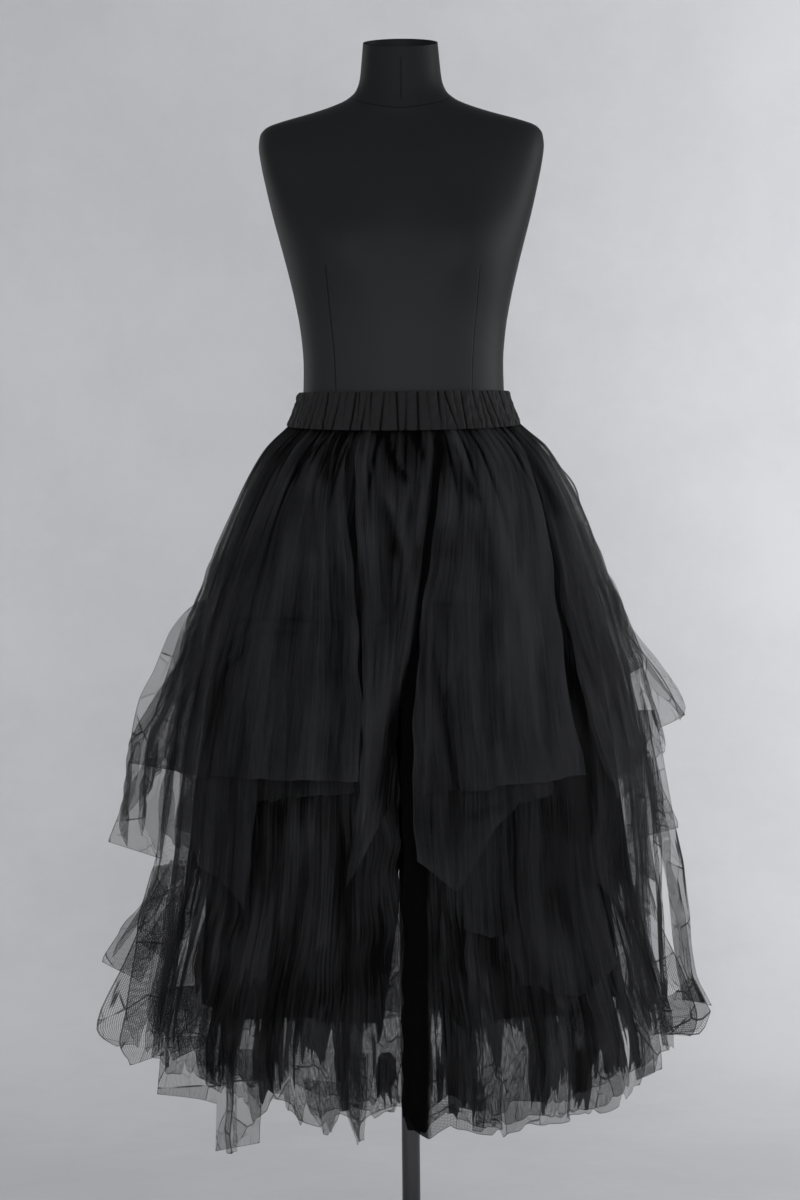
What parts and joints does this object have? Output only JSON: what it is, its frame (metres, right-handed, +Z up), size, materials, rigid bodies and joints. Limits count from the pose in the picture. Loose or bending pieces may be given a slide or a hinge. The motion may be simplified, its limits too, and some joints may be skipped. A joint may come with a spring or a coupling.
{
  "type": "tulle skirt on a dress form",
  "caption": "Full black tulle skirt of layered raw-edged petals over an opaque knee lining, gathered into an elastic waistband, on a limbless dress form with pole and round base.",
  "frame": {"origin": "centre of the base plate's underside, on the floor", "axes": "+Z up along the pole, front of the skirt towards -Y, +X to the viewer's right"},
  "size_m": [0.759, 0.6402, 1.5833],
  "materials": {
    "jersey": "matt charcoal knit cover, smooth",
    "steel": "satin steel",
    "band": "black woven cotton, gathered over elastic",
    "lining": "black opaque lining cloth, dull",
    "tulle": "black hexagonal net, soft sheen on folds, raw edges"
  },
  "bodies": {
    "root": {"form_torso": "jersey", "lining_back_left": "lining", "lining_back_right": "lining", "lining_front_left": "lining", "lining_front_right": "lining", "stand_base": "steel", "stand_collar": "steel", "stand_pole": "steel", "stand_socket": "steel", "tulle_long_back_centre_left": "tulle", "tulle_long_back_centre_right": "tulle", "tulle_long_back_left": "tulle", "tulle_long_back_right": "tulle", "tulle_long_front": "tulle", "tulle_long_front_left": "tulle", "tulle_long_front_right": "tulle", "tulle_long_side_left": "tulle", "tulle_long_side_right": "tulle", "tulle_low_side_left": "tulle", "tulle_low_side_right": "tulle", "tulle_mid_back_left": "tulle", "tulle_mid_back_right": "tulle", "tulle_mid_front_left": "tulle", "tulle_mid_front_right": "tulle", "tulle_mid_side_left": "tulle", "tulle_mid_side_right": "tulle", "tulle_top_back_centre": "tulle", "tulle_top_back_left": "tulle", "tulle_top_back_right": "tulle", "tulle_top_centre": "tulle", "tulle_top_corner_right": "tulle", "tulle_top_front_left": "tulle", "tulle_top_front_right": "tulle", "tulle_top_side_left": "tulle", "tulle_top_side_right": "tulle", "tulle_under_front_left": "tulle", "tulle_under_front_right": "tulle", "tulle_under_point_right": "tulle", "waistband": "band"}
  },
  "joints": []
}
